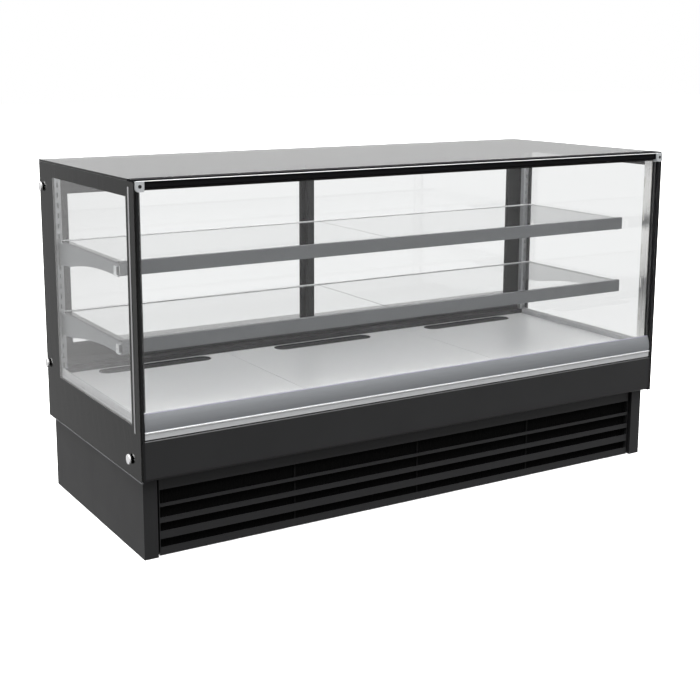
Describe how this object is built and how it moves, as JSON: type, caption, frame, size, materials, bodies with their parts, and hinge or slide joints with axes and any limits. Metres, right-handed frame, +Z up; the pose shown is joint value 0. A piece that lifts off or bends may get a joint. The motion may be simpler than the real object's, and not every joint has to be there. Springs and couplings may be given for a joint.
{
  "type": "refrigerated deli case",
  "caption": "Long floor-standing glass display case with a raised deck, glass shelves, a tilting front pane and rear sliding doors over a louvred plinth.",
  "frame": {"origin": "on the floor, under the middle of the case", "axes": "+X to the right seen from the customer side, -Y towards the customer, +Z up"},
  "size_m": [1.816, 0.748, 1.007],
  "materials": {
    "galvanised_steel": "satin",
    "levelling_feet_zinc": "satin",
    "black_powder_coat": "satin",
    "fascia_black": "satin",
    "compressor_black": "gloss",
    "rubber": "matte",
    "fin_aluminium": "satin",
    "black_plastic": "matte",
    "copper": "satin",
    "foam_body": "satin",
    "white_deck": "gloss",
    "satin_aluminium": "satin",
    "stainless": "polished",
    "clear_glass": "polished",
    "grey_paint": "satin",
    "dark_anodised": "satin",
    "drain_plastic": "satin",
    "button_grey": "satin",
    "switch_green": "gloss"
  },
  "bodies": {
    "case": {"base_frame": "galvanised_steel", "levelling_feet": "levelling_feet_zinc", "plinth_side_left": "black_powder_coat", "plinth_side_right": "black_powder_coat", "louvre_grille": "black_powder_coat", "plinth_rear_panel": "galvanised_steel", "compressor": "compressor_black", "compressor_mounts": "rubber", "condenser_coil": "fin_aluminium", "condenser_shroud": "galvanised_steel", "condenser_motor": "compressor_black", "refrigerant_pipes": "copper", "insulated_tub": "foam_body", "fascia": "fascia_black", "rear_panel": "black_powder_coat", "evaporator_coil": "fin_aluminium", "evaporator_plate": "galvanised_steel", "drain_pipe": "drain_plastic", "deck_panel_left": "white_deck", "deck_panel_middle": "white_deck", "deck_panel_right": "white_deck", "deck_trims": "satin_aluminium", "standoff_fixings": "stainless", "front_posts": "satin_aluminium", "top_glass": "clear_glass", "top_front_rail": "black_powder_coat", "lamp": "satin_aluminium", "shelf_uprights": "grey_paint", "shelf_brackets": "grey_paint", "bracket_clips": "stainless", "shelf_rails_upper": "grey_paint", "shelf_rails_lower": "grey_paint", "shelf_glass_upper": "clear_glass", "shelf_glass_lower": "clear_glass", "rear_sill": "dark_anodised", "rear_header": "dark_anodised", "rear_jambs": "dark_anodised", "side_frame_left": "black_powder_coat", "side_frame_right": "black_powder_coat", "side_glass_left": "clear_glass", "side_glass_right": "clear_glass", "controller": "black_plastic", "switch_housing": "black_plastic", "cable_gland": "black_plastic"},
    "front_glass": {"front_rail": "satin_aluminium", "front_glass": "clear_glass", "corner_patches": "stainless"},
    "corner_lock_left": {"corner_lock_left": "stainless"},
    "corner_lock_right": {"corner_lock_right": "stainless"},
    "door_left": {"door_frame_left": "dark_anodised", "door_glass_left": "clear_glass"},
    "door_right": {"door_frame_right": "dark_anodised", "door_glass_right": "clear_glass"},
    "condenser_fan": {"condenser_fan": "black_plastic"},
    "evaporator_fan_left": {"evaporator_fan_left": "black_plastic"},
    "evaporator_fan_right": {"evaporator_fan_right": "black_plastic"},
    "button_set": {"button_set": "button_grey"},
    "button_down": {"button_down": "button_grey"},
    "button_up": {"button_up": "button_grey"},
    "power_switch": {"power_switch": "switch_green"}
  },
  "joints": [
    {"name": "front_glass_tilt", "type": "hinge", "parent": "case", "child": "front_glass", "pos_m": [0, -0.3605, 0.3435], "axis": [1, 0, 0], "range_deg": [0, 35]},
    {"name": "door_left_slide", "type": "slide", "parent": "case", "child": "door_left", "axis": [1, 0, 0], "range_m": [0, 0.82]},
    {"name": "door_right_slide", "type": "slide", "parent": "case", "child": "door_right", "axis": [-1, 0, 0], "range_m": [0, 0.82]},
    {"name": "condenser_fan_spin", "type": "hinge", "parent": "case", "child": "condenser_fan", "pos_m": [0.41, -0.158, 0.131], "axis": [0, 1, 0], "continuous": true},
    {"name": "evaporator_fan_left_spin", "type": "hinge", "parent": "case", "child": "evaporator_fan_left", "pos_m": [-0.25, 0.06, 0.313], "axis": [0, 1, 0], "continuous": true},
    {"name": "evaporator_fan_right_spin", "type": "hinge", "parent": "case", "child": "evaporator_fan_right", "pos_m": [0.25, 0.06, 0.313], "axis": [0, 1, 0], "continuous": true},
    {"name": "power_switch_rock", "type": "hinge", "parent": "case", "child": "power_switch", "pos_m": [-0.5, 0.364, 0.3], "axis": [1, 0, 0], "range_deg": [0, 16]},
    {"name": "corner_lock_left_turn", "type": "hinge", "parent": "front_glass", "child": "corner_lock_left", "pos_m": [-0.885, -0.374, 0.99], "axis": [0, 1, 0], "range_deg": [0, 90]},
    {"name": "corner_lock_right_turn", "type": "hinge", "parent": "front_glass", "child": "corner_lock_right", "pos_m": [0.885, -0.374, 0.99], "axis": [0, 1, 0], "range_deg": [0, 90]},
    {"name": "button_set_press", "type": "slide", "parent": "case", "child": "button_set", "axis": [0, -1, 0], "range_m": [0, 0.001], "stiffness_N_per_m": 300},
    {"name": "button_down_press", "type": "slide", "parent": "case", "child": "button_down", "axis": [0, -1, 0], "range_m": [0, 0.001], "stiffness_N_per_m": 300},
    {"name": "button_up_press", "type": "slide", "parent": "case", "child": "button_up", "axis": [0, -1, 0], "range_m": [0, 0.001], "stiffness_N_per_m": 300}
  ]
}
